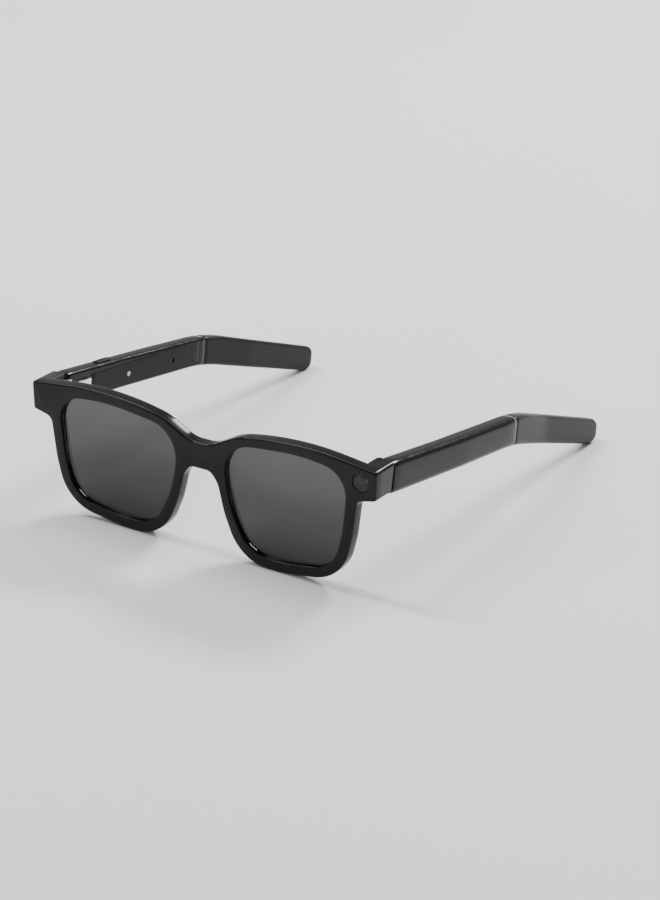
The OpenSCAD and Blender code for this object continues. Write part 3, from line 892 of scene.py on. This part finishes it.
def softened(node, body):
    """A CAD part's own shape with its sharp edges rounded off."""
    bm = bmesh.new()
    bm.from_mesh(frame["nodes"][node].data)
    bmesh.ops.remove_doubles(bm, verts=bm.verts, dist=CAD_WELD * MM)
    bmesh.ops.dissolve_limit(
        bm, angle_limit=math.radians(1), verts=bm.verts, edges=bm.edges, delimit={"NORMAL"})
    piece = to_object(bm, node + "_soft", Matrix.Identity(4))
    modify(piece, "BEVEL", width=HINGE_EDGE * MM, segments=2, limit_method="ANGLE",
           angle_limit=math.radians(50), use_clamp_overlap=True)
    shade(piece)
    stands_for(piece, node, body)


def screw(side, s, t, kind):
    """A screw with a flat head and a cross slot, whose axis runs outwards along u."""
    low, shoulder, point = kind
    matrix = TEMPLE[side] @ Matrix.Translation((0, s, t)) @ Matrix.Rotation(math.pi / 2, 4, "Y")
    body = turned("screw", [
        (0.02, low), (SCREW_HEAD_R - 0.12, low), (SCREW_HEAD_R - 0.03, low + 0.04),
        (SCREW_HEAD_R, low + 0.12), (SCREW_HEAD_R, shoulder), (SCREW_R, shoulder),
        (SCREW_R, point - SCREW_POINT), (SCREW_R - SCREW_POINT, point), (0.02, point),
    ], matrix, 36)
    for turn in SLOT_TURNS:
        place = matrix @ Matrix.Rotation(math.radians(turn), 4, "Z")
        long, wide = (around(0, half) for half in SLOT_HALF)
        boolean(body, [block("slot", long, wide, (low - 1, low + SLOT_T), place)])
    return body


def build_hinges():
    front_screws = []
    for side in (1, -1):
        word, body = SIDE_NAME[side], TEMPLE_BODY[side]
        softened("hinge_leaf_front_" + word, "front")
        softened("hinge_pin_" + word, "front")
        softened("hinge_leaf_temple_" + word, body)
        for t in (-FRONT_SCREW_T, FRONT_SCREW_T):
            front_screws.append(screw(side, FRONT_SCREW_S, t, LEAF_SCREW))
        for node, places, kind in (
            ("temple_hinge_screws_" + word, LEAF_SCREW_S, LEAF_SCREW),
            ("cover_screws_" + word, BOSS_S, COVER_SCREW),
        ):
            screws = [screw(side, s, 0, kind) for s in places]
            stands_for(merge(node + "_slotted", screws), node, body)
    stands_for(merge("front_hinge_screws_slotted", front_screws), "front_hinge_screws", "front")


# ---- Temples ---------------------------------------------------------------------------------


def section(s, u, t, edge_r, inset=0.0):
    """A ring of points round a rectangle at station s, its inner and outer edges rounded."""
    u0, u1, t0, t1 = u[0] + inset, u[1] - inset, t[0] + inset, t[1] - inset
    limit = MOST_ROUND * min(u1 - u0, t1 - t0)
    inner, outer = (min(radius, limit) for radius in edge_r)
    corners = [(u0, t1, inner), (u1, t1, outer), (u1, t0, outer), (u0, t0, inner)]
    return [(p.x, s, p.y) for p in rounded(corners, SECTION_STEPS)]


def stations(start, end, step):
    count = max(2, round((end - start) / step))
    return [start + (end - start) * k / count for k in range(count + 1)]


def softened_start(start, ring, edge):
    """The first two rings of a part whose end is slightly rounded."""
    first = FIRST_RING * edge
    return [ring(start, edge), ring(start + first, first)]


def softened_ends(start, end, step, ring, edge):
    """Rings along a part whose two ends are slightly rounded."""
    rings = softened_start(start, ring, edge)
    rings += [ring(s) for s in stations(start + edge, end - edge, step)]
    last = FIRST_RING * edge
    return rings + [ring(end - last, last), ring(end, edge)]


def core_bore(side):
    """The hole for the steel core wire, along the bent part of the temple."""
    turn = Matrix.Rotation(CORE_TURN, 4, "Z") @ Matrix.Rotation(-math.pi / 2 - DROOP, 4, "X")
    place = TEMPLE[side] @ Matrix.Translation(CORE_START) @ turn
    return turned("core_bore", [(CORE_R, 0), (CORE_R, CORE_LEN)], place, 32)


def build_shell(side):
    matrix = TEMPLE[side]

    def ring(s, inset=0.0):
        return section(s, span(PLAN_POINTS, s), span(SIDE_POINTS, s), ARM_EDGE_R, inset)

    rings = softened_ends(BUTT_S + BUTT_GAP, SHELL_END - SHELL_GAP, ARM_STEP, ring, ARM_END_EDGE)
    shell = loft("temple_shell_" + SIDE_NAME[side] + "_polished", rings, matrix)
    cavity = block("cavity", (0, CAVITY_U), CAVITY_S, CAVITY_T, matrix)
    boolean(cavity, [rod("boss", (0, s, 0), (1, 0, 0), BOSS_R, REACH, matrix, 32) for s in BOSS_S])
    port_u, port_s = TEMPLE_PORT
    cuts = [
        cavity,
        block("cover_seat", (-REACH, COVER_U + SEAM), widened(CAVITY_S, COVER_LIP),
              widened(CAVITY_T, COVER_LIP), matrix),
        knuckle_room(side),
        bar("sound_slot", PORT, SOUND_SLOT, -REACH, 0, matrix),
        bar("mesh_seat", PORT, MESH_SEAT, -REACH, MESH_SEAT_TOP, matrix),
        rod("microphone_port", (port_u, port_s, -REACH), (0, 0, 1), PORT_R, REACH - 1, matrix),
        core_bore(side),
    ]
    cuts += [pilot(side, s, 0, LEAF_SCREW) for s in LEAF_SCREW_S]
    cuts += [pilot(side, s, 0, COVER_SCREW) for s in BOSS_S]
    if side < 0:
        slot_size = (BUTTON_LEN + BUTTON_GAP, BUTTON_W + BUTTON_GAP)
        ceiling = CAVITY_T[1]
        room = (ceiling - BUTTON_GAP / 2, FLANGE_T + FLANGE_GAP)
        cuts.append(bar("flange_room", BUTTON, FLANGE_ROOM, *room, matrix))
        cuts.append(bar("button_slot", BUTTON, slot_size, ceiling, REACH, matrix))
    boolean(shell, cuts)
    stands_for(shell, "temple_shell_" + SIDE_NAME[side], TEMPLE_BODY[side])


def build_cover(side):
    matrix = TEMPLE[side]
    lip = COVER_LIP - SEAM
    t = widened(CAVITY_T, lip)

    def ring(s, inset=0.0):
        return section(s, (span(PLAN_POINTS, s)[0], COVER_U), t, COVER_EDGE_R, inset)

    rings = softened_ends(*widened(CAVITY_S, lip), COVER_STEP, ring, COVER_END_EDGE)
    cover = loft("temple_cover_" + SIDE_NAME[side] + "_satin", rings, matrix)
    cuts = []
    for s in BOSS_S:
        start = (-REACH, s, 0)
        cuts.append(rod("clear", start, (1, 0, 0), SCREW_R + CLEAR_GAP, 2 * REACH, matrix))
        cuts.append(rod("counterbore", start, (1, 0, 0), SCREW_HEAD_R + HEAD_GAP,
                        REACH + COVER_SCREW[1], matrix, 36))
    if side > 0:
        half_s, half_t = KNOB_SLOT_HALF
        run = widened((SLIDER_S, SLIDER_S + SLIDER_TRAVEL), half_s)
        cuts.append(block("slider_slot", around(0, REACH), run, around(0, half_t), matrix))
    boolean(cover, cuts)
    stands_for(cover, "temple_cover_" + SIDE_NAME[side], TEMPLE_BODY[side])


def build_tip(side):
    """The ear piece: it thins, bends down and ends in a full round."""

    def ring(s, inset=0.0):
        u, t = span(PLAN_POINTS, s), span(SIDE_POINTS, s)
        near_end = max(0.0, (s - (TIP_END - TIP_THIN_S)) / TIP_THIN_S)
        lost = 1 - math.sqrt(max(0.0, 1 - near_end * near_end))
        pinch = (u[1] - u[0]) / 2 * lost * TIP_THIN
        edge_r = (ARM_EDGE_R[0], ARM_EDGE_R[1] - TIP_EDGE_LOSS * near_end)
        return section(s, (u[0] + pinch, u[1] - pinch), t, edge_r, inset)

    start = SHELL_END + SHELL_GAP
    rings = softened_start(start, ring, ARM_END_EDGE)
    rings += [ring(s) for s in stations(start + ARM_END_EDGE, TIP_END - TIP_R, TIP_STEP)]
    turns = quarter(TIP_ROUND_STEPS)[1:-1]
    rings += [ring(TIP_END - TIP_R * (1 - math.sin(a))) for a in turns]
    rings.append(ring(TIP_END - TIP_END_GAP))
    tip = loft("temple_tip_" + SIDE_NAME[side] + "_soft", rings, TEMPLE[side])
    boolean(tip, [core_bore(side)])
    stands_for(tip, "temple_tip_" + SIDE_NAME[side], TEMPLE_BODY[side])


# ---- Controls --------------------------------------------------------------------------------


def build_button():
    """The button's cap with the flange that holds it under the shell."""
    matrix = TEMPLE[-1]
    cap = bar("capture_button_cap", BUTTON, (BUTTON_LEN, BUTTON_W), CAP_BASE, BUTTON_TOP,
              matrix, BUTTON_EDGE)
    flange = bar("flange", BUTTON, FLANGE_SIZE, FLANGE_BASE, FLANGE_T, matrix, FLANGE_EDGE)
    boolean(cap, [flange], "UNION")
    stands_for(cap, "capture_button", "capture_button")


def build_slider():
    """A small knob with three grip ridges, over its flange."""
    matrix = TEMPLE[1]

    def part(name, u, half, edge, middle=SLIDER_S):
        return block(name, u, around(middle, half[0]), around(0, half[1]), matrix, edge)

    knob = part("power_slider_knob", KNOB_U, KNOB_HALF, KNOB_EDGE)
    others = [part("ridge", RIDGE_U, RIDGE_HALF, RIDGE_EDGE, SLIDER_S + k * RIDGE_STEP)
              for k in (-1, 0, 1)]
    others.append(part("flange", KNOB_FLANGE_U, KNOB_FLANGE_HALF, FLANGE_EDGE))
    boolean(knob, others, "UNION")
    stands_for(knob, "power_slider", "power_slider")


# ---- Stage -----------------------------------------------------------------------------------

FLOOR_SIZE = 24
LIGHT_TARGET = (0, 0, 0.02)
LIGHTS = [  # name, direction from the glasses, distance, size, power
    ("overhead", (-0.1, 0.25, 1.0), 1.5, (1.5, 0.7), 10),
    ("strip", (-0.52, -0.05, 0.8), 1.5, (0.12, 0.8), 12),
    ("glint", (-0.52, -0.72, 0.46), 1.5, (0.2, 0.2), 2.5),
    ("back", (0.15, 0.9, 0.75), 1.6, (0.6, 0.3), 26),
]
SKY_COLOR = (0.97, 0.98, 1.0, 1)
SKY_STRENGTH = 0.5
# The photograph's view: degrees to the right and up, metres away, and the lens in millimetres
VIEW_AZIMUTH = math.radians(34)
VIEW_ELEVATION = math.radians(23)
VIEW_DISTANCE = 1.37
VIEW_LENS = 150
VIEW_SENSOR = 36
VIEW_SHIFT_Y = -0.045


def build_floor():
    bpy.ops.mesh.primitive_plane_add(size=FLOOR_SIZE, location=(0, 0, CAD_BOX[0].z))
    floor = bpy.context.object
    floor.name = "floor"
    floor.data.materials.append(floor_paint())


def aim(thing, target):
    thing.rotation_mode = "QUATERNION"
    thing.rotation_quaternion = (Vector(target) - thing.location).to_track_quat("-Z", "Y")


def build_lights():
    for name, direction, distance, size, power in LIGHTS:
        data = bpy.data.lights.new(name, "AREA")
        data.shape = "RECTANGLE"
        data.size, data.size_y = size
        data.energy = power
        light = bpy.data.objects.new(name, data)
        light.location = Vector(direction).normalized() * distance
        aim(light, LIGHT_TARGET)
        bpy.context.scene.collection.objects.link(light)
    world = bpy.data.worlds.new("studio")
    world.use_nodes = True
    sky = world.node_tree.nodes["Background"].inputs
    sky["Color"].default_value = SKY_COLOR
    sky["Strength"].default_value = SKY_STRENGTH
    bpy.context.scene.world = world


def build_camera_view():
    data = bpy.data.cameras.new("view")
    data.lens = VIEW_LENS
    data.sensor_width = VIEW_SENSOR
    data.shift_y = VIEW_SHIFT_Y
    data.clip_start = 0.05
    camera = bpy.data.objects.new("view", data)
    centre = (CAD_BOX[0] + CAD_BOX[1]) / 2
    level = math.cos(VIEW_ELEVATION)
    away = Vector((math.sin(VIEW_AZIMUTH) * level, -math.cos(VIEW_AZIMUTH) * level,
                   math.sin(VIEW_ELEVATION)))
    camera.location = centre + away * VIEW_DISTANCE
    aim(camera, centre)
    bpy.context.scene.collection.objects.link(camera)
    bpy.context.scene.camera = camera


build_camera_view()
build_lights()
build_floor()
dress_cad()
build_front()
build_brow_cover()
for hand in (1, -1):
    build_lens(hand)
    build_shell(hand)
    build_cover(hand)
    build_tip(hand)
build_camera()
build_contacts()
build_hinges()
build_button()
build_slider()
